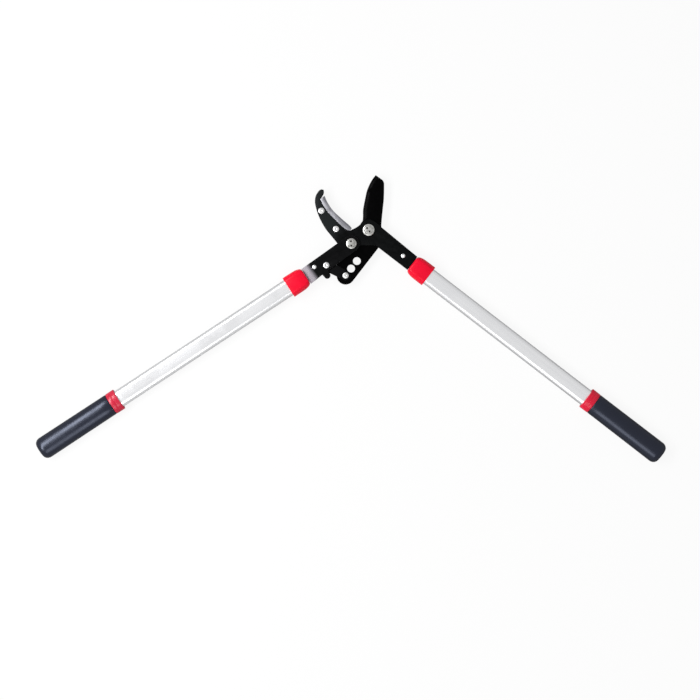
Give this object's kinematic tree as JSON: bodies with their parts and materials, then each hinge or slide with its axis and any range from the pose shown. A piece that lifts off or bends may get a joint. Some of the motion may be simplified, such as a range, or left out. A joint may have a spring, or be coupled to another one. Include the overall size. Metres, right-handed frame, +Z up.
{
  "type": "anvil lopper",
  "caption": "Long handled anvil lopper with a compound lever action, hooked anvil jaw, oval tube handles and grips, lying flat with its jaws open.",
  "frame": {"origin": "centre of the box of the whole tool, on the plane that it lies on, with the jaws open", "axes": "+X to the right handle's side, along the longest extent; +Y towards the jaws; +Z up, through the thickness, towards the bolt heads"},
  "size_m": [1.0704, 0.488, 0.0264],
  "materials": {
    "black_steel": "satin black coat",
    "blade_steel": "black non-stick coat",
    "bright_steel": "bright plated",
    "anvil_metal": "satin",
    "tube_aluminium": "satin extruded",
    "red_plastic": "moulded gloss",
    "grip_plastic": "soft satin vinyl",
    "inner_plastic": "plain"
  },
  "bodies": {
    "right_side": {"body_plate_front": "black_steel", "body_plate_back": "black_steel", "anvil_insert": "anvil_metal", "anvil_rivet_upper": "bright_steel", "anvil_rivet_lower": "bright_steel", "pivot_bolt": "bright_steel", "pivot_washer": "bright_steel", "pivot_nut": "bright_steel", "handle_pivot_bush": "bright_steel", "right_arm_rivet": "bright_steel", "right_arm_spacer": "bright_steel", "right_tang_block": "bright_steel", "right_tube_plug": "inner_plastic", "right_tang_rivet": "bright_steel", "right_ferrule": "red_plastic", "right_tube": "tube_aluminium", "right_grip_collar": "red_plastic", "right_grip": "grip_plastic"},
    "left_handle": {"left_arm_front": "black_steel", "left_arm_back": "black_steel", "left_arm_rivet": "bright_steel", "left_arm_spacer": "bright_steel", "handle_pivot_bolt": "bright_steel", "handle_pivot_nut": "bright_steel", "link_rivet_arm": "bright_steel", "left_tang_block": "bright_steel", "left_tube_plug": "inner_plastic", "left_tang_rivet": "bright_steel", "left_ferrule": "red_plastic", "left_tube": "tube_aluminium", "left_grip_collar": "red_plastic", "left_grip": "grip_plastic"},
    "blade": {"blade": "blade_steel", "blade_bush": "bright_steel", "link_rivet_blade": "bright_steel"},
    "link": {"link_front": "black_steel", "link_back": "black_steel"}
  },
  "joints": [
    {"name": "handle_hinge", "type": "hinge", "parent": "right_side", "child": "left_handle", "pos_m": [0.00078, 0.12697, 0.0132], "axis": [0, 0, 1], "range_deg": [0, 92]},
    {"name": "blade_hinge", "type": "hinge", "parent": "right_side", "child": "blade", "pos_m": [0.02998, 0.15027, 0.0132], "axis": [0, 0, 1], "range_deg": [0, 59.1]},
    {"name": "link_hinge", "type": "hinge", "parent": "blade", "child": "link", "pos_m": [-0.00892, 0.07307, 0.0132], "axis": [0, 0, 1], "range_deg": [-38, 0]}
  ],
  "couplings": [
    {"joint": "blade_hinge", "follows": "handle_hinge", "ratio": 0.6413},
    {"joint": "link_hinge", "follows": "handle_hinge", "ratio": -0.411}
  ]
}
